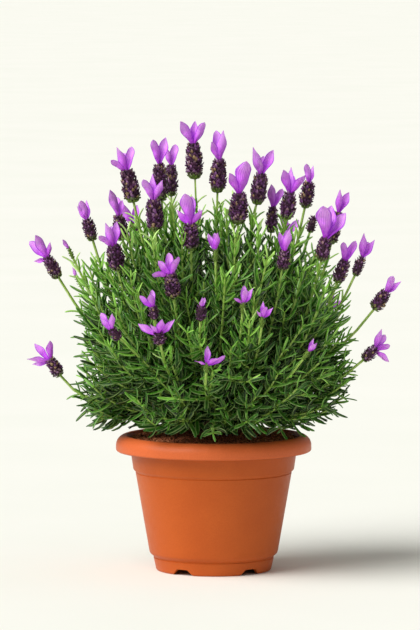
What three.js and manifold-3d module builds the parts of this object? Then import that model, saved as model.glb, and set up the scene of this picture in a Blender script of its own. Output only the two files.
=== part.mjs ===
// A potted lavender of the crested kind: a round bush of leafy shoots in a flared plastic pot,
// with dark flower spikes that each carry a tuft of upright bracts.
// Millimetres, +Z up. The origin is on the pot's axis, in the plane that it stands on; the front is -Y.
import * as THREE from "three";
import { mergeVertices } from "three/addons/utils/BufferGeometryUtils.js";
import Module from "manifold-3d";

const wasm = await Module();
wasm.setup();

// Driving dimensions.
const GAP = 0.3; // left between pieces that touch

const POT_HEIGHT = 139;
const RIM_RADIUS = 100;
const RIM_DEPTH = 16.5; // height of the rolled rim
const LIP_WIDTH = 11.2; // from the rim's outside to the opening
const LIP_FLAT = 0.7; // left between the opening and the rim's rounded outer edge
const RIM_OVERHANG = 15.1; // from the rim's outside to the body below it
const BAND_HEIGHT = 21.4; // the thicker band below the rim
const BAND_TAPER = 2.5;
const BAND_STEP = 2.3;
const BAND_CHAMFER = 2.8; // height of the slope in to the body
const FOOT_TOP_RADIUS = 65.7; // the body where it meets the foot
const FOOT_HEIGHT = 14;
const FOOT_STEP = 4;
const FOOT_CHAMFER = 4.6; // height of the slope from the body in to the foot
const FOOT_RADIUS = 58.4; // outside of the standing ring
const FOOT_RING_WIDTH = 3.2;
const WALL = 2.2;
const INSIDE_LIFT = 1; // the inside's steps are this much above the outside's
const FLOOR_UNDERSIDE = 8;
const NOTCH_COUNT = 5;
const NOTCH_WIDTH = 24;
const NOTCH_HEIGHT = 6;
const NOTCH_SLOPE = 5.5; // how far each end of a notch slopes in on its way up
const FIRST_NOTCH = -123; // bearing in degrees
const DRAIN_COUNT = 6;
const DRAIN_RADIUS = 5;
const DRAIN_CIRCLE = 38;
const POT_SIDES = 28;

const SOIL_DEPTH_BELOW_RIM = 4;
const SOIL_MOUND = 2;
const ROOT_DEPTH = 14;
const TRUNK_RADIUS = 8;
const TRUNK_HEIGHT = 8; // above the soil
const LIMB_THICKNESS = 5;
const KNOT_RADIUS = 3.2; // the swelling where a branch's stems part

const PLANT_HALF_SPREAD = 190; // from the axis to the outermost bract tips
const PLANT_HEIGHT = 330; // from the soil to the highest bract tips
const STEM_THICKNESS = 2.4;
const STEM_STEPS = 4;
const LEAF_LENGTH = 23;
const LEAF_ROOT = 2.3;
const LEAVES_IN_WHORL = 4;
const FORWARD_LEAN = 0.55; // share of a head's own bearing that its spike leans fore and aft

const SOIL_TOP = POT_HEIGHT - SOIL_DEPTH_BELOW_RIM;

const POT_MATERIAL = { color: 0xc8582a, roughness: 0.45, metalness: 0 };
const SOIL_MATERIAL = { color: 0x4b2314, roughness: 1, metalness: 0 };
const BARK_MATERIAL = { color: 0x6b5638, roughness: 0.9, metalness: 0 };
const FOLIAGE_MATERIAL = { color: 0x3c7d28, roughness: 0.6, metalness: 0 };
const FLOWER_MATERIAL = { color: 0x8a3ab0, roughness: 0.6, metalness: 0 };

// The branches, each with where its knot stands (bearing in degrees, reach and rise above the soil
// in millimetres), the tilt at which its stems set out, its leafy shoots as [bearing, elevation] in
// degrees, and its flower heads. A head's x and y are in percent of the plant's half spread and its
// z in percent of the plant's height above the soil, all to the foot of its spike; tilt is its
// lean to the right in degrees; then the spike's length and width, and the bracts as
// [length, angle to the right of the spike].
const BRANCHES = {
  front_left: {
    bearing: -132, reach: 34, rise: 18, tilt: 42,
    shoots: [[-146, 16], [-126, 44]],
    heads: [
      { x: -49, y: -61, z: 34, tilt: -45, spike: 15, width: 11, bracts: [[22, 42], [14, -2]] },
      { x: -31, y: -24, z: 65, tilt: -3, spike: 33, width: 18, bracts: [[25, -20], [26, 0], [23, 24]] },
      { x: -31, y: -63, z: 40, tilt: -6, spike: 15, width: 11, bracts: [[19, -5], [16, -43]] },
    ],
  },
  front_mid_left: {
    bearing: -110, reach: 34, rise: 18, tilt: 40,
    shoots: [[-116, 10], [-112, 62]],
    heads: [
      { x: -21, y: -55, z: 46, tilt: -7, spike: 27, width: 16, bracts: [[25, 23], [17, -34], [17, -70]] },
      { x: -12, y: -39, z: 60, tilt: -1, spike: 27, width: 17, bracts: [[37, -7], [28, 3], [20, 34], [19, -40]] },
      { x: -28, y: -74, z: 33, tilt: -8, spike: 15, width: 13, bracts: [[22, 16], [20, -60], [16, -21], [20, 52]] },
    ],
  },
  front: {
    bearing: -90, reach: 34, rise: 18, tilt: 44,
    shoots: [[-95, 14], [-84, 30]],
    heads: [
      { x: -7, y: -71, z: 40, tilt: 5, spike: 17, width: 12, bracts: [[10, -6], [9, 12]] },
      { x: -4, y: -82, z: 25, tilt: 5, spike: 13, width: 9, bracts: [[20, 29], [18, 60], [14, -50]] },
      { x: 1, y: -52, z: 57, tilt: -2, spike: 13, width: 9, bracts: [[20, 8], [17, -20]] },
    ],
  },
  front_mid_right: {
    bearing: -70, reach: 34, rise: 18, tilt: 40,
    shoots: [[-70, 8], [-66, 56]],
    heads: [
      { x: 15, y: -68, z: 42, tilt: 4, spike: 13, width: 9, bracts: [[19, 3], [17, 27], [11, -45]] },
      { x: 25, y: -71, z: 38, tilt: 4, spike: 13, width: 9, bracts: [[17, 7], [13, 40], [10, -30]] },
      { x: 13, y: -18, z: 67, tilt: 2, spike: 32, width: 20, bracts: [[25, -23], [16, 6], [37, 9]] },
    ],
  },
  front_right: {
    bearing: -48, reach: 34, rise: 18, tilt: 44,
    shoots: [[-52, 12], [-44, 46]],
    heads: [
      { x: 47, y: -64, z: 28, tilt: 32, spike: 12, width: 9, bracts: [[15, 0], [11, 18]] },
      { x: 36, y: -44, z: 54, tilt: 8, spike: 21, width: 14, bracts: [[26, 3], [19, -21]] },
    ],
  },
  right_low: {
    bearing: -22, reach: 35, rise: 18, tilt: 50,
    shoots: [[-28, 8], [-24, 34]],
    heads: [
      { x: 57, y: -26, z: 56, tilt: 11, spike: 25, width: 15, bracts: [[37, -14], [33, 0], [20, -24], [32, 27]] },
      { x: 66, y: -16, z: 49, tilt: 19, spike: 24, width: 15, bracts: [[21, -21], [23, 9]] },
      { x: 80, y: -13, z: 25, tilt: 45, spike: 18, width: 13, bracts: [[22, -26], [15, 33], [17, 80]] },
    ],
  },
  right: {
    bearing: 4, reach: 35, rise: 20, tilt: 46,
    shoots: [[0, 14], [14, 40]],
    heads: [
      { x: 86, y: 0, z: 40, tilt: 36, spike: 22, width: 15, bracts: [[19, -12], [19, 16]] },
      { x: 63, y: 5, z: 60, tilt: 13, spike: 34, width: 14, bracts: [[24, -8], [24, 14]] },
      { x: 76, y: 11, z: 50, tilt: 23, spike: 21, width: 12, bracts: [[25, -18], [22, 11]] },
    ],
  },
  upper_right: {
    bearing: 4, reach: 17, rise: 36, tilt: 18,
    shoots: [[16, 66]],
    heads: [
      { x: 39, y: -5, z: 68, tilt: 7, spike: 28, width: 16, bracts: [[26, -20], [26, -4], [25, 29]] },
      { x: 49, y: 11, z: 71, tilt: 10, spike: 27, width: 15, bracts: [[20, -16], [18, 3]] },
      { x: 52, y: 24, z: 63, tilt: 15, spike: 17, width: 11, bracts: [] },
    ],
  },
  upper_back: {
    bearing: 60, reach: 15, rise: 38, tilt: 10,
    shoots: [[70, 72]],
    heads: [
      { x: 2, y: 4, z: 76, tilt: 3, spike: 34, width: 17, bracts: [[31, 5], [31, -8], [21, -22]] },
      { x: 23, y: 13, z: 72, tilt: 9, spike: 32, width: 17, bracts: [[29, -24], [29, 16], [16, -13]] },
      { x: 31, y: 20, z: 63, tilt: 4, spike: 27, width: 13, bracts: [[24, -7], [22, 21]] },
    ],
  },
  upper_left: {
    bearing: 132, reach: 15, rise: 38, tilt: 12,
    shoots: [[130, 68]],
    heads: [
      { x: -10, y: 11, z: 80, tilt: -3, spike: 37, width: 18, bracts: [[27, -24], [24, 7], [25, 28]] },
      { x: -23, y: 32, z: 74, tilt: 0, spike: 33, width: 14, bracts: [[20, -16], [23, 10]] },
      { x: -28, y: 16, z: 73, tilt: -4, spike: 39, width: 16, bracts: [[26, -9], [29, 16]] },
    ],
  },
  left_upper: {
    bearing: -170, reach: 17, rise: 36, tilt: 22,
    shoots: [[-166, 62]],
    heads: [
      { x: -43, y: 5, z: 73, tilt: -12, spike: 34, width: 18, bracts: [[26, -10], [25, 21], [19, -40]] },
      { x: -49, y: 11, z: 61, tilt: -10, spike: 26, width: 15, bracts: [[29, -7], [17, 20]] },
      { x: -51, y: -24, z: 53, tilt: -9, spike: 26, width: 18, bracts: [[27, -8], [25, 14], [19, -38]] },
    ],
  },
  left: {
    bearing: -176, reach: 35, rise: 18, tilt: 50,
    shoots: [[-165, 8], [176, 36]],
    heads: [
      { x: -65, y: 8, z: 61, tilt: -16, spike: 23, width: 14, bracts: [[21, -1], [20, 13], [17, -17]] },
      { x: -83, y: -5, z: 50, tilt: -30, spike: 25, width: 14, bracts: [[27, 4], [24, -17], [16, 38], [12, -70]] },
      { x: -82, y: -11, z: 20, tilt: -33, spike: 21, width: 14, bracts: [[22, 30], [22, -12], [22, -49], [17, -70]] },
    ],
  },
  back_left: {
    bearing: 148, reach: 34, rise: 20, tilt: 44,
    shoots: [[146, 12], [154, 40]],
    heads: [
      { x: -76, y: 21, z: 55, tilt: -24, spike: 12, width: 8, bracts: [[11, -9]] },
      { x: -72, y: 28, z: 46, tilt: -26, spike: 12, width: 8, bracts: [[10, 3]] },
      { x: -42, y: 52, z: 57, tilt: -10, spike: 26, width: 15, bracts: [[25, -20], [24, 18]] },
    ],
  },
  back: {
    bearing: 106, reach: 34, rise: 20, tilt: 42,
    shoots: [[118, 10], [92, 26], [110, 50]],
    heads: [
      { x: -10, y: 62, z: 54, tilt: -4, spike: 28, width: 16, bracts: [[26, -18], [27, 16]] },
      { x: 12, y: 78, z: 32, tilt: 6, spike: 20, width: 14, bracts: [[24, -20], [22, 22]] },
    ],
  },
  back_right: {
    bearing: 52, reach: 34, rise: 20, tilt: 44,
    shoots: [[66, 8], [38, 12], [50, 46]],
    heads: [
      { x: 38, y: 57, z: 53, tilt: 10, spike: 27, width: 15, bracts: [[26, -16], [24, 20]] },
      { x: 60, y: 55, z: 32, tilt: 24, spike: 20, width: 13, bracts: [[22, -14], [21, 20]] },
    ],
  },
};

const FOLIAGE_INSET = 62; // from the plant's outermost bract tips in to the ends of its leafy shoots
const FOLIAGE_DROP = 125; // and down from its highest bract tips to the highest of those ends
const SHOOT_WHORLS = [0.62, 0.99]; // where its rings of leaves stand, as shares of a shoot

const UP = new THREE.Vector3(0, 0, 1);

// A closed three.js shape as a solid that can be joined and cut.
function solidOf(geometry) {
  const bare = new THREE.BufferGeometry().setAttribute("position", geometry.getAttribute("position"));
  if (geometry.index) bare.setIndex(geometry.index);
  const merged = mergeVertices(bare, 1e-4);
  const corners = [];
  const index = merged.index.array;
  for (let i = 0; i < index.length; i += 3) {
    const [a, b, c] = [index[i], index[i + 1], index[i + 2]];
    if (a !== b && b !== c && a !== c) corners.push(a, b, c);
  }
  return new wasm.Manifold(new wasm.Mesh({
    numProp: 3,
    vertProperties: merged.getAttribute("position").array,
    triVerts: new Uint32Array(corners),
  }));
}

function geometryOf(solid) {
  const mesh = solid.getMesh();
  const geometry = new THREE.BufferGeometry();
  geometry.setAttribute("position", new THREE.BufferAttribute(mesh.vertProperties, 3));
  geometry.setIndex(new THREE.BufferAttribute(mesh.triVerts, 1));
  geometry.computeVertexNormals();
  return geometry;
}

function join(solids) {
  return solids.reduce((whole, piece) => whole.add(piece));
}

// A matrix that turns +Z to a direction and moves the origin to a place.
function placed(place, direction, roll = 0) {
  const turn = new THREE.Quaternion().setFromUnitVectors(UP, direction);
  turn.multiply(new THREE.Quaternion().setFromAxisAngle(UP, roll));
  return new THREE.Matrix4().compose(place, turn, new THREE.Vector3(1, 1, 1));
}

// A turned shape about +Z from [radius, height] points, bottom first.
function turned(outline, sides) {
  const points = outline.map(([radius, height]) => new THREE.Vector2(radius, height));
  return new THREE.LatheGeometry(points, sides).rotateX(Math.PI / 2);
}

function polar(bearing, elevation, length) {
  const a = THREE.MathUtils.degToRad(bearing);
  const e = THREE.MathUtils.degToRad(elevation);
  const flat = Math.cos(e) * length;
  return new THREE.Vector3(Math.cos(a) * flat, Math.sin(a) * flat, Math.sin(e) * length);
}

// The pot.

const FLOOR_TOP = FLOOR_UNDERSIDE + WALL;
const OPENING_RADIUS = RIM_RADIUS - LIP_WIDTH;
const LIP_ROUND = LIP_WIDTH - LIP_FLAT;
const SHOULDER_RADIUS = RIM_RADIUS - RIM_OVERHANG;
const RIM_BOTTOM = POT_HEIGHT - RIM_DEPTH;
const BAND_BOTTOM = RIM_BOTTOM - BAND_HEIGHT;
const BAND_BOTTOM_RADIUS = SHOULDER_RADIUS - BAND_TAPER;
const BODY_TOP_RADIUS = BAND_BOTTOM_RADIUS - BAND_STEP;

// The inside wall as [radius, height] from the floor to the opening.
const INSIDE = [
  [FOOT_TOP_RADIUS - FOOT_STEP - WALL, FLOOR_TOP],
  [FOOT_TOP_RADIUS - FOOT_STEP - WALL, FOOT_HEIGHT + INSIDE_LIFT],
  [FOOT_TOP_RADIUS - WALL, FOOT_HEIGHT + FOOT_CHAMFER + INSIDE_LIFT],
  [BODY_TOP_RADIUS - WALL, BAND_BOTTOM + INSIDE_LIFT],
  [BAND_BOTTOM_RADIUS - WALL, BAND_BOTTOM + BAND_CHAMFER + INSIDE_LIFT],
  [SHOULDER_RADIUS - WALL, RIM_BOTTOM],
  [OPENING_RADIUS, POT_HEIGHT - 1.5],
];

function insideRadius(height) {
  const upper = INSIDE.findIndex(([, z]) => z >= height);
  const [r1, z1] = INSIDE[upper];
  const [r0, z0] = INSIDE[Math.max(upper - 1, 0)];
  return z1 === z0 ? r1 : r0 + ((r1 - r0) * (height - z0)) / (z1 - z0);
}

// The rim's rounded upper edge as [radius, height], from its side up to its top.
function lipArc(steps) {
  return Array.from({ length: steps + 1 }, (_, i) => {
    const a = (i * Math.PI) / 2 / steps;
    return [
      RIM_RADIUS - LIP_ROUND * (1 - Math.cos(a)),
      POT_HEIGHT - LIP_ROUND * (1 - Math.sin(a)),
    ];
  });
}

function potShell() {
  const skirt = RIM_RADIUS - WALL; // the rim's skirt is open below
  const ringInside = FOOT_RADIUS - FOOT_RING_WIDTH;
  return turned([
    [0, FLOOR_UNDERSIDE],
    [ringInside - 2, FLOOR_UNDERSIDE],
    [ringInside, FLOOR_UNDERSIDE - 2],
    [ringInside, 0],
    [FOOT_RADIUS, 0],
    [FOOT_RADIUS + 1.6, 2],
    [FOOT_TOP_RADIUS - FOOT_STEP, FOOT_HEIGHT],
    [FOOT_TOP_RADIUS, FOOT_HEIGHT + FOOT_CHAMFER],
    [BODY_TOP_RADIUS, BAND_BOTTOM],
    [BAND_BOTTOM_RADIUS, BAND_BOTTOM + BAND_CHAMFER],
    [SHOULDER_RADIUS, RIM_BOTTOM],
    [SHOULDER_RADIUS + 4.4, POT_HEIGHT - 7],
    [skirt - 3, POT_HEIGHT - 4],
    [skirt - 0.6, POT_HEIGHT - 9],
    [skirt - 0.6, RIM_BOTTOM],
    [RIM_RADIUS - 1.2, RIM_BOTTOM],
    [RIM_RADIUS, RIM_BOTTOM + 1.2],
    ...lipArc(4),
    ...INSIDE.slice().reverse(),
    [0, FLOOR_TOP],
  ], POT_SIDES);
}

// A wedge-sided cutter, as high as a notch and lying across the standing ring.
function notchCutter(bearing) {
  const half = NOTCH_WIDTH / 2;
  const shape = new THREE.Shape([
    new THREE.Vector2(-half - 1, -1),
    new THREE.Vector2(half + 1, -1),
    new THREE.Vector2(half - NOTCH_SLOPE, NOTCH_HEIGHT),
    new THREE.Vector2(NOTCH_SLOPE - half, NOTCH_HEIGHT),
  ]);
  const cutter = new THREE.ExtrudeGeometry(shape, { depth: 16, bevelEnabled: false });
  cutter.rotateX(Math.PI / 2).translate(0, -FOOT_RADIUS + 9, 0);
  return cutter.rotateZ(THREE.MathUtils.degToRad(bearing + 90));
}

function drainCutter(bearing) {
  const cutter = new THREE.CylinderGeometry(DRAIN_RADIUS, DRAIN_RADIUS, 4 * WALL, 10);
  const place = polar(bearing, 0, DRAIN_CIRCLE);
  return cutter.rotateX(Math.PI / 2).translate(place.x, place.y, FLOOR_TOP - WALL / 2);
}

function pot() {
  let solid = solidOf(potShell());
  for (let i = 0; i < NOTCH_COUNT; i++) {
    solid = solid.subtract(solidOf(notchCutter(FIRST_NOTCH + (i * 360) / NOTCH_COUNT)));
  }
  for (let i = 0; i < DRAIN_COUNT; i++) {
    solid = solid.subtract(solidOf(drainCutter((i * 360) / DRAIN_COUNT)));
  }
  return solid;
}

// The soil fills the pot and holds the foot of the trunk in a close hole.
function soil() {
  const wallPoints = INSIDE.filter(([, z]) => z < SOIL_TOP).slice(1);
  const hole = TRUNK_RADIUS + GAP;
  const holeBottom = SOIL_TOP + SOIL_MOUND - ROOT_DEPTH - GAP;
  return solidOf(turned([
    [0, FLOOR_TOP + GAP],
    [insideRadius(FLOOR_TOP + GAP) - GAP, FLOOR_TOP + GAP],
    ...wallPoints.map(([radius, height]) => [radius - GAP, height]),
    [insideRadius(SOIL_TOP) - GAP, SOIL_TOP],
    [insideRadius(SOIL_TOP) * 0.6, SOIL_TOP + 0.7 * SOIL_MOUND],
    [hole, SOIL_TOP + SOIL_MOUND],
    [hole, holeBottom],
    [0, holeBottom],
  ], POT_SIDES));
}

// The woody base.

function knotPlace({ bearing, reach, rise }) {
  return polar(bearing, 0, reach).setZ(SOIL_TOP + rise);
}

// The way that a branch sets out: at its bearing, tilted from upright.
function setOut({ bearing, tilt }) {
  return polar(bearing, 90 - tilt, 1);
}

function rod(curve, thickness, steps) {
  const half = thickness / 2;
  const square = new THREE.Shape([
    new THREE.Vector2(-half, -half),
    new THREE.Vector2(half, -half),
    new THREE.Vector2(half, half),
    new THREE.Vector2(-half, half),
  ]);
  return new THREE.ExtrudeGeometry(square, { steps, bevelEnabled: false, extrudePath: curve });
}

function woodyBase() {
  const trunkTop = SOIL_TOP + TRUNK_HEIGHT;
  const trunkBottom = SOIL_TOP + SOIL_MOUND - ROOT_DEPTH;
  const trunk = solidOf(turned([
    [0, trunkBottom],
    [TRUNK_RADIUS, trunkBottom],
    [TRUNK_RADIUS, SOIL_TOP + SOIL_MOUND],
    [TRUNK_RADIUS * 0.85, trunkTop],
    [0, trunkTop + 3],
  ], POT_SIDES / 2));
  const limbs = Object.values(BRANCHES).map((branch) => {
    const knot = knotPlace(branch);
    const end = knot.clone().addScaledVector(setOut(branch), -KNOT_RADIUS - GAP);
    const start = new THREE.Vector3(knot.x * 0.1, knot.y * 0.1, trunkTop - 3);
    const bend = end.clone().addScaledVector(setOut(branch), -0.35 * end.distanceTo(start));
    return solidOf(rod(new THREE.QuadraticBezierCurve3(start, bend, end), LIMB_THICKNESS, 2));
  });
  return join([trunk, ...limbs]);
}

// The flower heads.

function headFoot({ x, y, z }) {
  return new THREE.Vector3(
    (x / 100) * PLANT_HALF_SPREAD,
    (y / 100) * PLANT_HALF_SPREAD,
    SOIL_TOP + (z / 100) * PLANT_HEIGHT,
  );
}

function headAxis(head) {
  const foot = headFoot(head);
  const sideways = Math.tan(THREE.MathUtils.degToRad(head.tilt));
  const along = (FORWARD_LEAN * foot.y) / (foot.z - SOIL_TOP);
  return new THREE.Vector3(sideways, along, 1).normalize();
}

function spike(head) {
  const radius = head.width / 2;
  const outline = [
    [0, 0],
    [0.6 * radius, 0.08 * head.spike],
    [radius, 0.5 * head.spike],
    [0.7 * radius, 0.92 * head.spike],
    [0, head.spike],
  ];
  return turned(outline, 6).applyMatrix4(placed(headFoot(head), headAxis(head)));
}

// A pointed blade, widest past its middle, from its root to its tip; face is its outer side.
function blade(root, tip, face, width, thickness) {
  const length = new THREE.Vector3().subVectors(tip, root);
  const middle = root.clone().addScaledVector(length, 0.55);
  const side = new THREE.Vector3().crossVectors(length, face).setLength(width / 2);
  const depth = new THREE.Vector3().crossVectors(side, length).setLength(thickness / 2);
  const [left, right] = [middle.clone().sub(side), middle.clone().add(side)];
  const [outer, inner] = [middle.clone().add(depth), middle.clone().sub(depth)];
  const rims = [[root, right], [right, tip], [tip, left], [left, root]];
  const corners = rims.flatMap(([a, b]) => [a, b, outer, b, a, inner]);
  return new THREE.BufferGeometry().setFromPoints(corners);
}

// The bracts fan out from the top of the spike, by turns before and behind it.
function bracts(head) {
  const axis = headAxis(head);
  const right = new THREE.Vector3(1, 0, 0).projectOnPlane(axis).normalize();
  const front = new THREE.Vector3().crossVectors(right, axis);
  const root = headFoot(head).addScaledVector(axis, head.spike - 3);
  const fans = head.bracts.map(([length, angle], i) => [length, angle, i % 2 ? -14 : 14]);
  if (fans.length > 1 && fans.length < 4) fans.push([0.85 * fans[0][0], 0, -34]);
  return fans.map(([length, angle, forward]) => {
    const a = THREE.MathUtils.degToRad(angle);
    const f = THREE.MathUtils.degToRad(forward);
    const way = new THREE.Vector3()
      .addScaledVector(axis, Math.cos(a) * Math.cos(f))
      .addScaledVector(right, Math.sin(a) * Math.cos(f))
      .addScaledVector(front, Math.sin(f));
    const face = front.clone().multiplyScalar(Math.sign(forward)).addScaledVector(right, 0.5 * Math.sin(a));
    const tip = root.clone().addScaledVector(way, length + 3);
    return blade(root, tip, face.projectOnPlane(way).normalize(), 0.42 * length, 2.4);
  });
}

function flowerHead(head) {
  return join([spike(head), ...bracts(head)].map(solidOf));
}

// The branches.

// A stem's curve from its branch's knot to a place that it reaches in a given direction. It sets out
// midway between its branch's way and the straight line to its end.
function stemCurve(branch, end, arrival) {
  const start = knotPlace(branch);
  const straight = new THREE.Vector3().subVectors(end, start);
  const span = straight.length();
  const way = straight.normalize().add(setOut(branch)).normalize();
  return new THREE.CubicBezierCurve3(
    start,
    start.clone().addScaledVector(way, 0.35 * span),
    end.clone().addScaledVector(arrival, -0.4 * span),
    end,
  );
}

function flowerStemCurve(branch, head) {
  const axis = headAxis(head);
  return stemCurve(branch, headFoot(head).addScaledVector(axis, -GAP), axis);
}

function shootCurve(branch, [bearing, elevation]) {
  const reach = polar(bearing, elevation, 1);
  const radius = PLANT_HALF_SPREAD - FOLIAGE_INSET;
  const rise = PLANT_HEIGHT - FOLIAGE_DROP;
  const end = new THREE.Vector3(reach.x * radius, reach.y * radius, reach.z * rise);
  end.z += SOIL_TOP + branch.rise;
  return stemCurve(branch, end, polar(bearing, Math.min(elevation + 25, 85), 1));
}

// A ring of pointed leaves about a stem, as one star-shaped solid.
function whorl(curve, share, roll, spare) {
  const length = LEAF_LENGTH + spare;
  const root = LEAF_ROOT + spare;
  const ring = [];
  for (let i = 0; i < 2 * LEAVES_IN_WHORL; i++) {
    const turn = (i * Math.PI) / LEAVES_IN_WHORL;
    const [reach, rise] = i % 2 ? [root, 0] : [0.75 * length, 0.62 * length];
    ring.push(new THREE.Vector3(Math.cos(turn) * reach, Math.sin(turn) * reach, rise));
  }
  const top = new THREE.Vector3(0, 0, root);
  const bottom = new THREE.Vector3(0, 0, -root);
  const corners = ring.flatMap((here, i) => {
    const next = ring[(i + 1) % ring.length];
    return [here, next, top, next, here, bottom];
  });
  const star = new THREE.BufferGeometry().setFromPoints(corners);
  return solidOf(star.applyMatrix4(placed(curve.getPoint(share), curve.getTangent(share), roll)));
}

function stems(branch) {
  const knot = new THREE.OctahedronGeometry(KNOT_RADIUS).translate(...knotPlace(branch));
  const curves = [
    ...branch.heads.map((head) => flowerStemCurve(branch, head)),
    ...branch.shoots.map((shoot) => shootCurve(branch, shoot)),
  ];
  return join([knot, ...curves.map((curve) => rod(curve, STEM_THICKNESS, STEM_STEPS))].map(solidOf));
}

// Adds a whorl to its branch only where it clears every other piece.
function addWhorls(solids, name, branch) {
  const own = "branch_" + name;
  const sites = branch.shoots.flatMap((shoot) => {
    const curve = shootCurve(branch, shoot);
    return SHOOT_WHORLS.map((share) => [curve, share]);
  });
  sites.forEach(([curve, share], i) => {
    const room = whorl(curve, share, i, GAP);
    const clear = [...solids].every(([other, solid]) => other === own || room.intersect(solid).isEmpty());
    if (clear) solids.set(own, solids.get(own).add(whorl(curve, share, i, 0)));
  });
}

const solids = new Map([["pot", pot()], ["soil", soil()], ["woody_base", woodyBase()]]);
for (const [name, branch] of Object.entries(BRANCHES)) {
  solids.set("branch_" + name, stems(branch));
  branch.heads.forEach((head, i) => solids.set("flower_head_" + name + "_" + (i + 1), flowerHead(head)));
}
for (const [name, branch] of Object.entries(BRANCHES)) addWhorls(solids, name, branch);

function materialFor(name) {
  if (name === "pot") return POT_MATERIAL;
  if (name === "soil") return SOIL_MATERIAL;
  if (name === "woody_base") return BARK_MATERIAL;
  return name.startsWith("branch_") ? FOLIAGE_MATERIAL : FLOWER_MATERIAL;
}

const plant = new THREE.Group();
for (const [name, solid] of solids) {
  const mesh = new THREE.Mesh(geometryOf(solid), new THREE.MeshStandardMaterial(materialFor(name)));
  mesh.name = name;
  plant.add(mesh);
}

export default plant;
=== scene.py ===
import math
import random

import bmesh
import bpy
from mathutils import Matrix, Vector


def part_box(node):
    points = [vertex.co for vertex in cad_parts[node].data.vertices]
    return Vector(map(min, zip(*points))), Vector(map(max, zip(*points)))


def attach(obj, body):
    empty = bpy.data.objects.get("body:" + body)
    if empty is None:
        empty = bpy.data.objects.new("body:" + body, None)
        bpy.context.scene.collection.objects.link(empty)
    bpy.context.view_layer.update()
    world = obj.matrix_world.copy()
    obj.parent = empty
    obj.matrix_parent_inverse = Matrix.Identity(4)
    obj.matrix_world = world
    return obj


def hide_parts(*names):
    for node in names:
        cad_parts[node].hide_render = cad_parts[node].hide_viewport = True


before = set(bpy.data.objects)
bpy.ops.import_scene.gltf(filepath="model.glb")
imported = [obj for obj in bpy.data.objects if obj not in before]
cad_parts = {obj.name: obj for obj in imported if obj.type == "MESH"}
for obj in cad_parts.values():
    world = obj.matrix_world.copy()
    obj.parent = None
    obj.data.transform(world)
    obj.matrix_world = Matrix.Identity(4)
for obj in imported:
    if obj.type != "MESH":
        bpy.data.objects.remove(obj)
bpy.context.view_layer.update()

# A potted crested lavender. Metres; the pot's axis is Z and the front of the plant is -Y.

MM = 0.001

# The pot, from its standing ring up.
RIM_RADIUS = (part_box("pot")[1].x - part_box("pot")[0].x) / 2
POT_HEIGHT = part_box("pot")[1].z
RIM_DEPTH = 16.5 * MM
LIP_WIDTH = 11.2 * MM
LIP_FLAT = 0.7 * MM
RIM_OVERHANG = 15.1 * MM
BAND_HEIGHT = 21.4 * MM
BAND_TAPER = 2.5 * MM
BAND_STEP = 2.3 * MM
BAND_CHAMFER = 2.8 * MM
FOOT_TOP_RADIUS = 65.7 * MM
FOOT_HEIGHT = 14 * MM
FOOT_STEP = 4 * MM
FOOT_CHAMFER = 4.6 * MM
FOOT_RADIUS = 58.4 * MM
FOOT_RING_WIDTH = 3.2 * MM
WALL = 2.2 * MM
INSIDE_LIFT = 1 * MM
FLOOR_UNDERSIDE = 8 * MM
NOTCH_COUNT = 5
NOTCH_WIDTH = 24 * MM
NOTCH_HEIGHT = 6 * MM
NOTCH_SLOPE = 5.5 * MM
FIRST_NOTCH = -123
DRAIN_COUNT = 6
DRAIN_RADIUS = 5 * MM
DRAIN_CIRCLE = 38 * MM
POT_SIDES = 112

SHOULDER_RADIUS = RIM_RADIUS - RIM_OVERHANG
OPENING_RADIUS = RIM_RADIUS - LIP_WIDTH
RIM_BOTTOM = POT_HEIGHT - RIM_DEPTH
BAND_BOTTOM = RIM_BOTTOM - BAND_HEIGHT
BAND_RADIUS = SHOULDER_RADIUS - BAND_TAPER
BODY_TOP_RADIUS = BAND_RADIUS - BAND_STEP
FOOT_NECK_RADIUS = FOOT_TOP_RADIUS - FOOT_STEP
FLOOR_TOP = FLOOR_UNDERSIDE + WALL

# The soil and the woody base.
SOIL_TOP = POT_HEIGHT - 4 * MM
SOIL_MOUND = 2 * MM
SOIL_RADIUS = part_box("soil")[1].x
CRUMB_COUNT = 2600
TRUNK_RADIUS = 8 * MM
TRUNK_TOP = SOIL_TOP + 8 * MM
LIMB_RADIUS = 2.6 * MM
KNOT_RADIUS = 3.2 * MM
# Degrees from upright at which a branch sets out, for each metre of its knot's reach.
TILT_PER_REACH = 1300

# The leafy dome, round as seen from above: its middle, radius, rise and drop.
DOME_MIDDLE = Vector((0, 0, SOIL_TOP + 80 * MM))
DOME_RADIUS = 148 * MM
DOME_RISE = 174 * MM
DOME_DROP = 105 * MM
DOME_SHOULDER = 2.55
LOWEST_SHOOT = -34  # degrees below level, seen from the dome's middle
SHOOT_COUNT = 192
LEAF_LENGTH = 27 * MM
LEAF_WIDTH = 4 * MM
LEAF_DEPTH = 3 * MM
NODE_SPACING = 8 * MM
LEAF_CURLS = (-84, -70, -56, -40, -22, 14, 44)  # degrees, below nought back towards the stem
LEAF_OVER_SOIL = 10 * MM
LEAF_OVER_RIM = 6 * MM
LEAF_OVER_POT = 3 * MM  # above the level of the pot's top, for leaves outside it
LEAVES_REACH = 1.09  # how far out leaf tips may reach, as a share of the dome
LEAVES_FROM = 0.16  # how far up its stem the first leaf is, as a share of the stem
WIDEST_OPENING = 82  # degrees that the lowest leaves stand out from their stem
CLOSED_BY_HEIGHT = 30  # how many fewer at the dome's top
CLOSED_BY_YOUTH = 32  # how many fewer at a stem's tip
OPENING_SPREAD = 7
YOUNG_FROM = 0.75  # the share of a stem past which its leaves are young
FOOT_PAINTED_LIGHT = 0.16  # painted light on the outer leaves at the dome's foot
PAINTED_LIGHT_RISE = 0.98  # how much painted light is added towards its top, where more light falls
PAINTED_SHADE_DEPTH = 3.4  # how fast the painted shade darkens leaves inwards
STEM_RADIUS = 1.6 * MM
SHOOT_OVER_SOIL = 30 * MM

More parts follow.
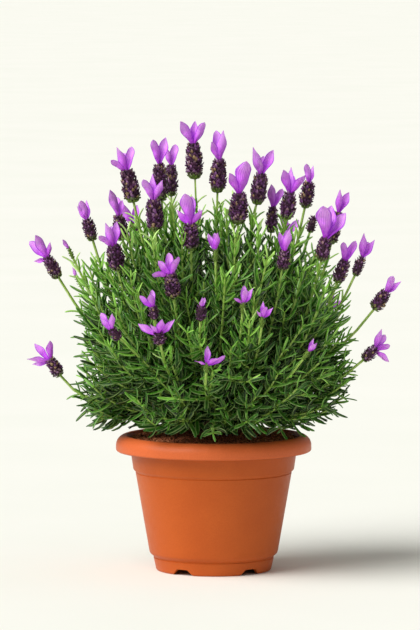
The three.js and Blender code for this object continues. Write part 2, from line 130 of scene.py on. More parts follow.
# The side shoots.
SIDE_SPACING = 48 * MM
SIDE_LENGTH = 44 * MM
HEAD_SIDE_LENGTH = 42 * MM  # on the stem of a flower head
SIDE_NODE_SPACING = 6 * MM
SIDE_LEAVES_FROM = 0.2
SIDE_LEAF_SIZE = 0.8
SIDE_OVER_SOIL = 16 * MM
SIDES_REACH = 0.97  # how far out their tips may reach, as a share of the dome

# Heads whose stems are leafy to the top, and how far out those leaves may reach.
LEAFY_HEADS = ("back_left_1", "back_left_2")
LEAFY_HEADS_REACH = 1.4

GOLDEN_TURN = math.pi * (3 - math.sqrt(5))


# Modelling by hand: what is selected, and how shapes are drawn out.

def deselect_all():
    if bpy.context.object and bpy.context.object.mode != "OBJECT":
        bpy.ops.object.mode_set(mode="OBJECT")
    bpy.ops.object.select_all(action="DESELECT")


def take(piece):
    """Makes a piece the only selected one."""
    deselect_all()
    piece.select_set(True)
    bpy.context.view_layer.objects.active = piece
    return piece


def new_piece(name):
    piece = bpy.context.object
    piece.name = name
    piece.data.name = name
    return piece


def draw_out(name, rings, sides):
    """A closed shape drawn out ring by ring. A ring is (centre, half width, half depth)."""
    deselect_all()
    centre, width, depth = rings[0]
    bpy.ops.mesh.primitive_circle_add(vertices=sides, radius=1, fill_type="NGON")
    piece = new_piece(name)
    bpy.ops.object.mode_set(mode="EDIT")
    bpy.ops.mesh.select_all(action="SELECT")
    bpy.ops.transform.resize(value=(width, depth, 1), center_override=(0, 0, 0))
    bpy.ops.transform.translate(value=centre)
    bpy.ops.mesh.select_mode(type="EDGE")
    for next_centre, next_width, next_depth in rings[1:]:
        step = Vector(next_centre) - Vector(centre)
        bpy.ops.mesh.extrude_edges_move(TRANSFORM_OT_translate={"value": step})
        growth = (next_width / width, next_depth / depth, 1)
        bpy.ops.transform.resize(value=growth, center_override=next_centre)
        centre, width, depth = next_centre, next_width, next_depth
    bpy.ops.mesh.edge_face_add()
    bpy.ops.mesh.select_all(action="SELECT")
    bpy.ops.mesh.normals_make_consistent(inside=False)
    bpy.ops.object.mode_set(mode="OBJECT")
    return piece


def turned(name, outline, sides):
    """A turned shape from (radius, height) points, bottom first."""
    rings = [((0, 0, height), radius, radius) for radius, height in outline]
    return draw_out(name, rings, sides)


def arc(centre_radius, centre_height, radius, first, last, count):
    """Points of an outline on a round stretch, by angles in degrees."""
    points = []
    for i in range(count + 1):
        angle = math.radians(first + (last - first) * i / count)
        points.append((
            centre_radius + radius * math.cos(angle),
            centre_height + radius * math.sin(angle),
        ))
    return points


def apply_modifier(piece, kind, **settings):
    take(piece)
    modifier = piece.modifiers.new(kind.title(), kind)
    for key, value in settings.items():
        setattr(modifier, key, value)
    bpy.ops.object.modifier_apply(modifier=modifier.name)


def smooth(piece, degrees):
    take(piece)
    bpy.ops.object.shade_smooth_by_angle(angle=math.radians(degrees))


def set_number(mesh, name, values):
    """Stores one number for each of a mesh's points."""
    attribute = mesh.attributes.get(name) or mesh.attributes.new(name, "FLOAT", "POINT")
    attribute.data.foreach_set("value", values)


def planted(name, places):
    """Copies of masters, each with its own mesh, joined as one piece. A place is (master, matrix,
    the numbers that its points carry)."""
    deselect_all()
    copies = []
    for master, matrix, numbers in places:
        copy = master.copy()
        copy.data = master.data.copy()
        copy.data.transform(matrix)
        for key, value in numbers.items():
            set_number(copy.data, key, [value] * len(copy.data.vertices))
        bpy.context.scene.collection.objects.link(copy)
        copy.select_set(True)
        copies.append(copy)
    bpy.context.view_layer.objects.active = copies[0]
    if len(copies) > 1:
        bpy.ops.object.join()
    return new_piece(name)


def tubes(name, paths, side_steps, steps):
    """Tapered tubes along curves, as one piece. A path is (four control points, radius at the
    start, radius at the end)."""
    deselect_all()
    bpy.ops.curve.primitive_bezier_curve_add(location=(0, 0, 0))
    piece = bpy.context.object
    curve = piece.data
    curve.splines.clear()
    curve.dimensions = "3D"
    curve.bevel_depth = 1
    curve.bevel_resolution = side_steps
    curve.resolution_u = steps
    curve.use_fill_caps = True
    for (start, start_handle, end_handle, end), first, last in paths:
        spline = curve.splines.new("BEZIER")
        spline.bezier_points.add(1)
        for point, place, handle, radius in zip(
            spline.bezier_points, (start, end), (start_handle, end_handle), (first, last)
        ):
            point.handle_left_type = point.handle_right_type = "FREE"
            point.co = place
            point.handle_left = 2 * place - handle if place is start else handle
            point.handle_right = handle if place is start else 2 * place - handle
            point.radius = radius
    bpy.ops.object.convert(target="MESH")
    return new_piece(name)


def turned_to(direction, roll, place):
    """A matrix that takes +Z to a direction, turned about it, and the origin to a place."""
    turn = direction.to_track_quat("Z", "Y").to_matrix().to_4x4()
    return Matrix.Translation(place) @ turn @ Matrix.Rotation(roll, 4, "Z")


def polar(bearing, elevation, length=1):
    a, e = math.radians(bearing), math.radians(elevation)
    flat = math.cos(e) * length
    return Vector((math.cos(a) * flat, math.sin(a) * flat, math.sin(e) * length))


# Finishes.

def colour(red, green, blue):
    """A paint colour, given as it looks on a screen from 0 to 255, as light."""
    light = []
    for value in (red, green, blue):
        share = value / 255
        light.append(share / 12.92 if share <= 0.04045 else ((share + 0.055) / 1.055) ** 2.4)
    return (*light, 1)


class Finish:
    """A material whose pattern is put together from nodes."""

    def __init__(self, name, roughness, **sockets):
        self.material = bpy.data.materials.new(name)
        self.material.use_nodes = True
        self.nodes = self.material.node_tree.nodes
        self.shader = self.nodes["Principled BSDF"]
        self.shader.inputs["Roughness"].default_value = roughness
        for socket, value in sockets.items():
            self.shader.inputs[socket.replace("_", " ")].default_value = value

    def link(self, output, socket):
        self.material.node_tree.links.new(output, socket)

    def object_place(self):
        return self.nodes.new("ShaderNodeTexCoord").outputs["Object"]

    def stretched(self, output, scale):
        node = self.nodes.new("ShaderNodeMapping")
        node.inputs["Scale"].default_value = scale
        self.link(output, node.inputs["Vector"])
        return node.outputs["Vector"]

    def number(self, name):
        node = self.nodes.new("ShaderNodeAttribute")
        node.attribute_name = name
        return node.outputs["Fac"]

    def noise(self, scale, detail=3, vector=None, roughness=0.5):
        node = self.nodes.new("ShaderNodeTexNoise")
        node.inputs["Scale"].default_value = scale
        node.inputs["Detail"].default_value = detail
        node.inputs["Roughness"].default_value = roughness
        self.link(vector or self.object_place(), node.inputs["Vector"])
        return node.outputs["Fac"]

    def cells(self, scale):
        node = self.nodes.new("ShaderNodeTexVoronoi")
        node.inputs["Scale"].default_value = scale
        self.link(self.object_place(), node.inputs["Vector"])
        return node.outputs["Distance"]

    def sums(self, operation, first, second=0.5, third=0.0):
        node = self.nodes.new("ShaderNodeMath")
        node.operation = operation
        for socket, value in zip(node.inputs, (first, second, third)):
            if isinstance(value, (int, float)):
                socket.default_value = value
            else:
                self.link(value, socket)
        return node.outputs[0]

    def span(self, value, low, high, to_low=0.0, to_high=1.0):
        node = self.nodes.new("ShaderNodeMapRange")
        for socket, number in zip(list(node.inputs)[1:5], (low, high, to_low, to_high)):
            socket.default_value = number
        self.link(value, node.inputs[0])
        return node.outputs[0]

    def ramp(self, value, stops):
        node = self.nodes.new("ShaderNodeValToRGB")
        marks = node.color_ramp.elements
        while len(marks) < len(stops):
            marks.new(0.5)
        for mark, (place, paint) in zip(marks, stops):
            mark.position = place
            mark.color = paint
        self.link(value, node.inputs[0])
        return node.outputs["Color"]

    def mix(self, share, first, second):
        node = self.nodes.new("ShaderNodeMix")
        node.data_type = "RGBA"
        inputs = (node.inputs[0], node.inputs[6], node.inputs[7])
        for socket, value in zip(inputs, (share, first, second)):
            if isinstance(value, (int, float, tuple)):
                socket.default_value = value
            else:
                self.link(value, socket)
        return node.outputs[2]

    def bump(self, height, strength, distance):
        node = self.nodes.new("ShaderNodeBump")
        node.inputs["Strength"].default_value = strength
        node.inputs["Distance"].default_value = distance
        self.link(height, node.inputs["Height"])
        self.link(node.outputs["Normal"], self.shader.inputs["Normal"])

    def paint(self, output):
        self.link(output, self.shader.inputs["Base Color"])

    def gloss(self, output):
        self.link(output, self.shader.inputs["Roughness"])


def pot_plastic():
    finish = Finish("pot_plastic", 0.42, Specular_IOR_Level=0.22)
    cloud = finish.noise(14, 4)
    speckle = finish.noise(700, 2)
    body = finish.ramp(cloud, [(0.3, colour(182, 82, 24)), (0.7, colour(194, 92, 30))])
    parts = finish.nodes.new("ShaderNodeSeparateXYZ")
    finish.link(finish.object_place(), parts.inputs[0])
    # painted highlight: the rim is painted lighter than the body, for the light and sheen that its top
    # catches
    rim_painted_light = finish.span(parts.outputs[2], RIM_BOTTOM - 0.5 * MM, RIM_BOTTOM + 1.5 * MM, 0, 0.6)
    rim_lightened = finish.mix(rim_painted_light, body, colour(222, 110, 64))
    finish.paint(finish.mix(finish.span(speckle, 0.3, 0.8, 0, 0.2), rim_lightened, colour(150, 56, 12)))
    finish.gloss(finish.span(finish.noise(160, 3), 0.3, 0.7, 0.40, 0.50))
    grain = finish.sums("MULTIPLY_ADD", speckle, 0.7, finish.noise(1800, 2))
    finish.bump(grain, 0.16, 0.25 * MM)
    return finish.material


def potting_soil():
    finish = Finish("potting_soil", 0.9)
    lumps = finish.noise(420, 5, roughness=0.65)
    fibres = finish.noise(900, 3, finish.stretched(finish.object_place(), (0.35, 1.4, 1)))
    brown = finish.ramp(lumps, [
        (0.32, colour(90, 44, 24)),
        (0.48, colour(158, 88, 52)),
        (0.60, colour(200, 124, 80)),
        (0.74, colour(230, 178, 138)),
    ])
    finish.paint(finish.mix(finish.span(fibres, 0.62, 0.75), brown, colour(176, 116, 78)))
    finish.bump(finish.sums("ADD", lumps, finish.cells(520)), 0.8, 1.2 * MM)
    return finish.material


def bark():
    finish = Finish("bark", 0.85)
    strips = finish.noise(260, 4, finish.stretched(finish.object_place(), (1, 1, 0.18)))
    finish.paint(finish.ramp(strips, [
        (0.3, colour(62, 48, 32)),
        (0.55, colour(112, 92, 62)),
        (0.75, colour(150, 132, 96)),
    ]))
    finish.bump(strips, 0.8, 0.8 * MM)
    return finish.material


def leaf_green():
    finish = Finish("leaf_green", 0.4, Specular_IOR_Level=0.4)
    # the tone number carries painted shade and painted light from each leaf's place in the dome, besides
    # random tone
    tone = finish.number("tone")
    mottle = finish.noise(300, 3)
    shade = finish.sums("MULTIPLY_ADD", finish.sums("SUBTRACT", mottle, 0.5), 0.35, tone)
    blade = finish.ramp(shade, [
        (0.0, colour(8, 38, 2)),
        (0.3, colour(46, 106, 12)),
        (0.6, colour(116, 178, 54)),
        (0.85, colour(166, 216, 96)),
        (1.0, colour(196, 230, 142)),
    ])
    across = finish.sums("ABSOLUTE", finish.number("across"))
    # pale rolled margins, partly a painted highlight along the leaf's edges
    edge = finish.span(across, 0.5, 1.0, 0.0, 0.55)
    margins_and_highlight = finish.mix(edge, blade, colour(192, 226, 140))
    root = finish.span(finish.number("along"), 0.0, 0.3, 0.5, 0.0)
    finish.paint(finish.mix(root, margins_and_highlight, colour(140, 182, 62)))
    finish.bump(finish.noise(2600, 2), 0.25, 0.15 * MM)
    return finish.material


def stem_green():
    finish = Finish("stem_green", 0.55, Specular_IOR_Level=0.35)
    streaks = finish.noise(500, 3, finish.stretched(finish.object_place(), (1, 1, 0.12)))
    finish.paint(finish.ramp(streaks, [
        (0.3, colour(120, 158, 58)),
        (0.55, colour(156, 188, 88)),
        (0.8, colour(196, 214, 138)),
    ]))
    finish.bump(streaks, 0.3, 0.2 * MM)
    return finish.material


def spike_scales():
    finish = Finish("spike_scales", 0.6, Specular_IOR_Level=0.4)
    fleck = finish.noise(700, 3)
    shade = finish.sums("MULTIPLY_ADD", finish.sums("SUBTRACT", fleck, 0.5), 0.45, finish.number("tone"))
    scale = finish.ramp(shade, [
        (0.0, colour(40, 16, 34)),
        (0.28, colour(86, 40, 74)),
        (0.44, colour(120, 66, 132)),
        (0.56, colour(166, 122, 160)),
        (0.68, colour(134, 106, 78)),
        (1.0, colour(184, 158, 116)),
    ])
    edge = finish.span(finish.number("along"), 0.75, 1.0, 0.0, 0.6)
    tipped = finish.mix(edge, scale, colour(44, 14, 54))
    foot = finish.span(finish.number("height"), 0.04, 0.16, 0.9, 0.0)
    finish.paint(finish.mix(foot, tipped, colour(112, 144, 52)))
    finish.bump(fleck, 0.4, 0.3 * MM)
    return finish.material


def bract_violet():
    finish = Finish("bract_violet", 0.5, Specular_IOR_Level=0.35, Subsurface_Weight=0.25)
    finish.shader.inputs["Subsurface Radius"].default_value = (0.6, 0.2, 0.8)
    finish.shader.inputs["Subsurface Scale"].default_value = 2 * MM
    uv = finish.nodes.new("ShaderNodeTexCoord").outputs["UV"]
    parts = finish.nodes.new("ShaderNodeSeparateXYZ")
    finish.link(uv, parts.inputs[0])
    across, along = parts.outputs[0], parts.outputs[1]
    cloud = finish.sums("SUBTRACT", finish.noise(160, 3), 0.5)
    clouded = finish.sums("MULTIPLY_ADD", cloud, 0.5, along)
    tone = finish.sums("MULTIPLY_ADD", finish.number("tone"), 0.3, clouded)
    petal = finish.ramp(tone, [
        (0.0, colour(160, 18, 206)),
        (0.30, colour(202, 78, 242)),
        (0.62, colour(220, 122, 250)),
        (1.0, colour(234, 166, 254)),
    ])
    veins = finish.nodes.new("ShaderNodeTexWave")
    veins.wave_type = "BANDS"
    veins.bands_direction = "X"
    veins.inputs["Scale"].default_value = 2.6
    veins.inputs["Distortion"].default_value = 1.6
    veins.inputs["Detail"].default_value = 2
    finish.link(finish.stretched(uv, (1, 0.3, 1)), veins.inputs["Vector"])
    lines = finish.sums("POWER", veins.outputs["Fac"], 3.0)
    veined = finish.mix(finish.sums("MULTIPLY", lines, 0.6), petal, colour(156, 34, 206))
    edge = finish.sums("ABSOLUTE", finish.sums("SUBTRACT", across, 0.5))
    finish.paint(finish.mix(finish.span(edge, 0.36, 0.48, 0, 0.75), veined, colour(152, 32, 204)))
    finish.bump(veins.outputs["Fac"], 0.4, 0.3 * MM)
    return finish.material


def studio_floor():
    finish = Finish("studio_floor", 0.8, Specular_IOR_Level=0.2)
    pale = [(0.3, colour(239, 241, 234)), (0.7, colour(242, 243, 237))]
    finish.paint(finish.ramp(finish.noise(3, 2), pale))
    return finish.material


FINISHES = {
    make.__name__: make()
    for make in (
        pot_plastic, potting_soil, bark, leaf_green,
        stem_green, spike_scales, bract_violet, studio_floor,
    )
}


def finished(piece, finish, nodes):
    """Gives a piece its finish, and its place in the frame."""
    piece.data.materials.clear()
    piece.data.materials.append(FINISHES[finish])
    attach(piece, "root")
    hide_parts(*nodes)


# The pot.

def pot_outline():
    lip_round = LIP_WIDTH - LIP_FLAT
    ring_inside = FOOT_RADIUS - FOOT_RING_WIDTH
    skirt = RIM_RADIUS - WALL
    hollow = [
        (SHOULDER_RADIUS, RIM_BOTTOM - 0.6 * MM),
        (SHOULDER_RADIUS + 0.6 * MM, RIM_BOTTOM + 1 * MM),
        (SHOULDER_RADIUS + 4.4 * MM, POT_HEIGHT - 7 * MM),
        (skirt - 3 * MM, POT_HEIGHT - 4.4 * MM),
        (skirt - 0.8 * MM, POT_HEIGHT - 9 * MM),
        (skirt - 0.6 * MM, RIM_BOTTOM + 1 * MM),
    ]
    return [
        (2 * MM, FLOOR_UNDERSIDE),
        (ring_inside - 12 * MM, FLOOR_UNDERSIDE),
        *arc(ring_inside - 2 * MM, FLOOR_UNDERSIDE - 2 * MM, 2 * MM, 90, 0, 3),
        (ring_inside, 0.4 * MM),
        (ring_inside + 0.4 * MM, 0),
        *arc(FOOT_RADIUS - 1.6 * MM, 2.4 * MM, 2.4 * MM, -90, -8, 5),
        (FOOT_NECK_RADIUS - 0.3 * MM, FOOT_HEIGHT - 2.2 * MM),
        (FOOT_NECK_RADIUS - 0.1 * MM, FOOT_HEIGHT - 1 * MM),
        (FOOT_NECK_RADIUS - 0.7 * MM, FOOT_HEIGHT - 0.5 * MM),
        (FOOT_NECK_RADIUS - 0.6 * MM, FOOT_HEIGHT + 0.2 * MM),
        (FOOT_TOP_RADIUS - 0.8 * MM, FOOT_HEIGHT + FOOT_CHAMFER - 1.2 * MM),
        (FOOT_TOP_RADIUS - 0.1 * MM, FOOT_HEIGHT + FOOT_CHAMFER),
        (FOOT_TOP_RADIUS + 0.3 * MM, FOOT_HEIGHT + FOOT_CHAMFER + 1.6 * MM),
        (BODY_TOP_RADIUS - 0.5 * MM, BAND_BOTTOM - 2.6 * MM),
        (BODY_TOP_RADIUS - 0.2 * MM, BAND_BOTTOM - 0.9 * MM),
        (BODY_TOP_RADIUS - 0.7 * MM, BAND_BOTTOM - 0.4 * MM),
        (BODY_TOP_RADIUS - 0.5 * MM, BAND_BOTTOM + 0.2 * MM),
        (BAND_RADIUS - 0.5 * MM, BAND_BOTTOM + BAND_CHAMFER - 0.6 * MM),
        (BAND_RADIUS, BAND_BOTTOM + BAND_CHAMFER + 0.4 * MM),
        *hollow,
        *arc(RIM_RADIUS - 1.6 * MM, RIM_BOTTOM + 1.1 * MM, 1.1 * MM, 200, 270, 3),
        *arc(RIM_RADIUS - 2 * MM, RIM_BOTTOM + 2 * MM, 2 * MM, -84, 0, 5),
        *arc(RIM_RADIUS - lip_round, POT_HEIGHT - lip_round, lip_round, 0, 84, 9),
        (OPENING_RADIUS + 1.2 * MM, POT_HEIGHT - 0.1 * MM),
        (OPENING_RADIUS + 0.3 * MM, POT_HEIGHT - 0.6 * MM),
        (OPENING_RADIUS, POT_HEIGHT - 1.5 * MM),
        (SHOULDER_RADIUS - WALL, RIM_BOTTOM),
        (BAND_RADIUS - WALL, BAND_BOTTOM + BAND_CHAMFER + INSIDE_LIFT),
        (BODY_TOP_RADIUS - WALL, BAND_BOTTOM + INSIDE_LIFT),
        (FOOT_TOP_RADIUS - WALL, FOOT_HEIGHT + FOOT_CHAMFER + INSIDE_LIFT),
        (FOOT_NECK_RADIUS - WALL, FOOT_HEIGHT + INSIDE_LIFT),
        (FOOT_NECK_RADIUS - WALL, FLOOR_TOP),
        (FOOT_NECK_RADIUS - 14 * MM, FLOOR_TOP),
        (2 * MM, FLOOR_TOP),
    ]


def cut_away(piece, cutter):
    apply_modifier(piece, "BOOLEAN", operation="DIFFERENCE", solver="EXACT", object=cutter)
    bpy.data.objects.remove(cutter)


def notch_cutter(bearing):
    """A block with sloping ends, lying across the standing ring."""
    deselect_all()
    bpy.ops.mesh.primitive_cube_add(size=1)
    cutter = new_piece("notch_cutter")
    bpy.ops.object.mode_set(mode="EDIT")
    size = (NOTCH_WIDTH + 2 * NOTCH_SLOPE, 16 * MM, 2 * NOTCH_HEIGHT)
    bpy.ops.transform.resize(value=size, center_override=(0, 0, 0))
    bpy.ops.mesh.select_all(action="DESELECT")
    mesh = bmesh.from_edit_mesh(cutter.data)
    for vertex in mesh.verts:
        vertex.select = vertex.co.z > 0
    mesh.select_flush(True)
    bmesh.update_edit_mesh(cutter.data)
    narrowed = (NOTCH_WIDTH - 2 * NOTCH_SLOPE) / size[0]
    bpy.ops.transform.resize(value=(narrowed, 1, 1), center_override=(0, 0, 0))
    bpy.ops.mesh.select_all(action="SELECT")
    bpy.ops.mesh.bevel(offset=0.9 * MM, segments=2, affect="EDGES")
    bpy.ops.object.mode_set(mode="OBJECT")
    cutter.data.transform(
        Matrix.Rotation(math.radians(bearing + 90), 4, "Z")
        @ Matrix.Translation((0, 2 * MM - FOOT_RADIUS, 0))
    )
    return cutter


def drain_cutter(bearing):
    deselect_all()
    place = polar(bearing, 0, DRAIN_CIRCLE)
    bpy.ops.mesh.primitive_cylinder_add(vertices=32, radius=DRAIN_RADIUS, depth=4 * WALL)
    cutter = new_piece("drain_cutter")
    cutter.data.transform(Matrix.Translation((place.x, place.y, FLOOR_UNDERSIDE + WALL / 2)))
    return cutter


def make_pot():
    pot = turned("plastic_pot", pot_outline(), POT_SIDES)
    for i in range(NOTCH_COUNT):
        cut_away(pot, notch_cutter(FIRST_NOTCH + i * 360 / NOTCH_COUNT))
    for i in range(DRAIN_COUNT):
        cut_away(pot, drain_cutter(i * 360 / DRAIN_COUNT))
    smooth(pot, 34)
    finished(pot, "pot_plastic", ["pot"])


# The soil.

def inside_radius(height):
    """The pot's inside radius at a height above the rim's bottom."""
    share = (height - RIM_BOTTOM) / (POT_HEIGHT - 1.5 * MM - RIM_BOTTOM)
    low = SHOULDER_RADIUS - WALL
    return low + (OPENING_RADIUS - low) * share


def soil_height(radius):
    return SOIL_TOP + SOIL_MOUND * (1 - (radius / SOIL_RADIUS) ** 2)


def make_soil():
    gap = 0.3 * MM
    edge = inside_radius(SOIL_TOP) - gap
    top_rings = 30
    outline = [
        (2 * MM, FLOOR_TOP + gap),
        (FOOT_NECK_RADIUS - WALL - gap, FLOOR_TOP + gap),
        (FOOT_NECK_RADIUS - WALL - gap, FOOT_HEIGHT + INSIDE_LIFT),
        (FOOT_TOP_RADIUS - WALL - gap, FOOT_HEIGHT + FOOT_CHAMFER + INSIDE_LIFT),
        (BODY_TOP_RADIUS - WALL - gap, BAND_BOTTOM + INSIDE_LIFT),
        (BAND_RADIUS - WALL - gap, BAND_BOTTOM + BAND_CHAMFER + INSIDE_LIFT),
        (SHOULDER_RADIUS - WALL - gap, RIM_BOTTOM),
        (edge, SOIL_TOP - 1 * MM),
    ]
    for i in range(top_rings):
        radius = edge * (1 - i / top_rings)
        outline.append((radius, soil_height(radius)))
    bed = turned("soil_bed", outline, 160)
    lumps = bpy.data.textures.new("soil_lumps", "CLOUDS")
    lumps.noise_scale = 7 * MM
    lumps.noise_depth = 4
    group = bed.vertex_groups.new(name="top")
    top = [
        v.index for v in bed.data.vertices
        if v.co.z > SOIL_TOP - 0.1 * MM and v.co.xy.length < edge * 0.985
    ]
    group.add(top, 1, "REPLACE")
    apply_modifier(
        bed, "DISPLACE", texture=lumps, strength=3.2 * MM, mid_level=0.55,
        vertex_group="top", direction="Z",
    )
    smooth(bed, 50)
    finished(bed, "potting_soil", ["soil"])


def crumb_masters():
    masters = []
    for i in range(4):
        deselect_all()
        bpy.ops.mesh.primitive_ico_sphere_add(subdivisions=1, radius=1)
        crumb = new_piece(f"crumb_{i}")
        bpy.ops.object.mode_set(mode="EDIT")
        bpy.ops.mesh.select_all(action="SELECT")
        bpy.ops.transform.vertex_random(offset=0.45, seed=i + 1)
        bpy.ops.object.mode_set(mode="OBJECT")
        masters.append(crumb)
    return masters


def make_crumbs():
    draw = random.Random(5)
    masters = crumb_masters()
    places = []
    for i in range(CRUMB_COUNT):
        radius = (inside_radius(SOIL_TOP) - 3 * MM) * math.sqrt(draw.uniform(0.02, 1))
        angle = draw.uniform(0, 2 * math.pi)
        size = draw.choice((0.5, 0.6, 0.8, 0.9, 1.2, 1.7)) * MM
        height = soil_height(radius) + 0.4 * MM
        place = Vector((radius * math.cos(angle), radius * math.sin(angle), height))
        turn = Matrix.Rotation(draw.uniform(0, 6), 4, "X") @ Matrix.Rotation(draw.uniform(0, 6), 4, "Z")
        stretch = Matrix.Diagonal((size * draw.uniform(0.8, 2.2), size, size, 1))
        places.append((draw.choice(masters), Matrix.Translation(place) @ turn @ stretch, {}))
    crumbs = planted("soil_crumbs", places)
    finished(crumbs, "potting_soil", ["soil"])
    drop(masters)


def drop(masters):
    for master in masters:
        bpy.data.objects.remove(master)


# The woody base.

def knot_of(node):
    """A branch's knot is the lowest part of its solid."""
    lowest = min((point.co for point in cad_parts[node].data.vertices), key=lambda place: place.z)
    return lowest + Vector((0, 0, KNOT_RADIUS))


BRANCHES = {
    node.removeprefix("branch_"): knot_of(node)
    for node in sorted(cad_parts)
    if node.startswith("branch_")
}


def set_out(name):
    """The way that a branch sets out: the further out its knot, the more it tilts."""
    knot = BRANCHES[name]
    reach = knot.xy.length
    return polar(math.degrees(math.atan2(knot.y, knot.x)), 90 - TILT_PER_REACH * reach)


def make_woody_base():
    root = SOIL_TOP + SOIL_MOUND - 14 * MM
    trunk = turned("trunk_and_limbs", [
        (2 * MM, root),
        (TRUNK_RADIUS, root),
        (TRUNK_RADIUS, SOIL_TOP + SOIL_MOUND),
        (TRUNK_RADIUS * 0.88, SOIL_TOP + 5 * MM),
        (TRUNK_RADIUS * 0.85, TRUNK_TOP),
        (TRUNK_RADIUS * 0.5, TRUNK_TOP + 2.6 * MM),
        (1 * MM, TRUNK_TOP + 3 * MM),
    ], 20)
    paths = []
    for name, knot in BRANCHES.items():
        start = Vector((knot.x * 0.1, knot.y * 0.1, TRUNK_TOP - 3 * MM))
        bend = knot - set_out(name) * 0.35 * (knot - start).length
        route = (start, start.lerp(bend, 0.66), knot.lerp(bend, 0.66), knot)
        paths.append((route, LIMB_RADIUS, LIMB_RADIUS * 0.8))
    limbs = tubes("limbs", paths, 2, 8)
    deselect_all()
    limbs.select_set(True)
    trunk.select_set(True)
    bpy.context.view_layer.objects.active = trunk
    bpy.ops.object.join()
    knobs = bpy.data.textures.new("bark_knobs", "CLOUDS")
    knobs.noise_scale = 6 * MM
    apply_modifier(trunk, "DISPLACE", texture=knobs, strength=0.9 * MM, mid_level=0.5)
    smooth(trunk, 50)
    finished(trunk, "bark", ["woody_base"])


# Where the flower heads are, from the frame.

# The lowest ring of a spike's solid: how far up the spike it is, and its share of the radius.
LOW_RING_HEIGHT = 0.08
LOW_RING_WIDTH = 0.6
SAME_PLACE = 0.02 * MM


class Head:
    """A flower head's foot, axis, spike length and radius, and the tips of its bracts."""

    def __init__(self, node):
        self.node = node
        self.name = node.removeprefix("flower_head_")
        self.branch = self.name.rsplit("_", 1)[0]
        solid = bmesh.new()
        solid.from_mesh(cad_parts[node].data)
        bmesh.ops.remove_doubles(solid, verts=solid.verts, dist=SAME_PLACE)
        self.read_spike(solid)
        self.read_tips(solid)
        solid.free()

    def read_spike(self, solid):
        """The foot is the lower point that is as far from each of its six neighbours."""
        poles = []
        for point in solid.verts:
            ring = [edge.other_vert(point).co for edge in point.link_edges]
            if len(ring) != 6:
                continue
            spans = [(corner - point.co).length for corner in ring]
            if max(spans) - min(spans) < SAME_PLACE:
                middle = sum(ring, Vector()) / 6
                poles.append((point.co.z, point.co.copy(), middle, (ring[0] - middle).length))
        _, self.foot, middle, ring_radius = min(poles, key=lambda pole: pole[0])
        self.axis = (middle - self.foot).normalized()
        self.length = (middle - self.foot).length / LOW_RING_HEIGHT
        self.radius = ring_radius / LOW_RING_WIDTH

    def read_tips(self, solid):
        self.bract_root = self.foot + self.axis * (self.length - 3 * MM)
        self.tips = []
        for point in solid.verts:
            away = point.co - self.foot
            along = away.dot(self.axis)
            beside = (away - self.axis * along).length
            if along < self.length * 1.03 and beside < self.radius * 1.35:
                continue
            reach = (point.co - self.bract_root).length
            near = [(edge.other_vert(point).co - self.bract_root).length for edge in point.link_edges]
            if all(reach > other for other in near):
                self.tips.append(point.co.copy())


HEADS = [Head(node) for node in sorted(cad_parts) if node.startswith("flower_head_")]


# The stems.

def stem_path(name, end, arrival):
    """Control points of a stem from its branch's knot to a place that it reaches in a given
    direction. It sets out midway between its branch's way and the straight line to its end."""
    start = BRANCHES[name]
    straight = end - start
    way = (straight.normalized() + set_out(name)).normalized()
    return (start, start + way * 0.35 * straight.length, end - arrival * 0.4 * straight.length, end)


def point_on(path, t):
    a, b, c, d = path
    s = 1 - t
    return a * s ** 3 + b * (3 * s * s * t) + c * (3 * s * t * t) + d * t ** 3


def way_on(path, t):
    a, b, c, d = path
    s = 1 - t
    return ((b - a) * s * s + (c - b) * (2 * s * t) + (d - c) * t * t).normalized()


def path_length(path):
    points = [point_on(path, i / 12) for i in range(13)]
    return sum((b - a).length for a, b in zip(points, points[1:]))


def dome_share(place):
    """How far out a place is in the leafy dome: 1 on its surface."""
    flat = place.xy.length / DOME_RADIUS
    height = place.z - DOME_MIDDLE.z
    up = abs(height) / (DOME_RISE if height > 0 else DOME_DROP)
    return (flat ** DOME_SHOULDER + up ** DOME_SHOULDER) ** (1 / DOME_SHOULDER)


def dome_surface(direction):
    share = dome_share(DOME_MIDDLE + direction * DOME_RADIUS)
    return DOME_MIDDLE + direction * (DOME_RADIUS / share)


def best_branch(end):
    """The branch that reaches a place with the least bend, among near ones."""
    def strain(name):
        straight = end - BRANCHES[name]
        return straight.angle(set_out(name)) + straight.length / (400 * MM)
    return min(BRANCHES, key=strain)


def leafy_shoots(draw):
    """Shoots spread evenly over the dome, by branch."""
    shoots = {name: [] for name in BRANCHES}
    lowest = math.sin(math.radians(LOWEST_SHOOT))
    for i in range(SHOOT_COUNT):
        rise = lowest + (0.995 - lowest) * (i + 0.5) / SHOOT_COUNT
        elevation = math.degrees(math.asin(rise))
        bearing = math.degrees(i * GOLDEN_TURN) + draw.uniform(-5, 5)
        depth = draw.uniform(0.0, 0.1) if i % 3 else draw.uniform(0.2, 0.45)
        end = dome_surface(polar(bearing, elevation)).lerp(DOME_MIDDLE, 0.05 + depth)
        end.z = max(end.z, SOIL_TOP + SHOOT_OVER_SOIL)
        steepness = math.degrees(math.atan2(end.z - SOIL_TOP, end.xy.length))
        arrival = polar(bearing + draw.uniform(-14, 14), min(steepness + draw.uniform(6, 26), 88))
        name = best_branch(end)
        shoots[name].append(stem_path(name, end, arrival))
    return shoots


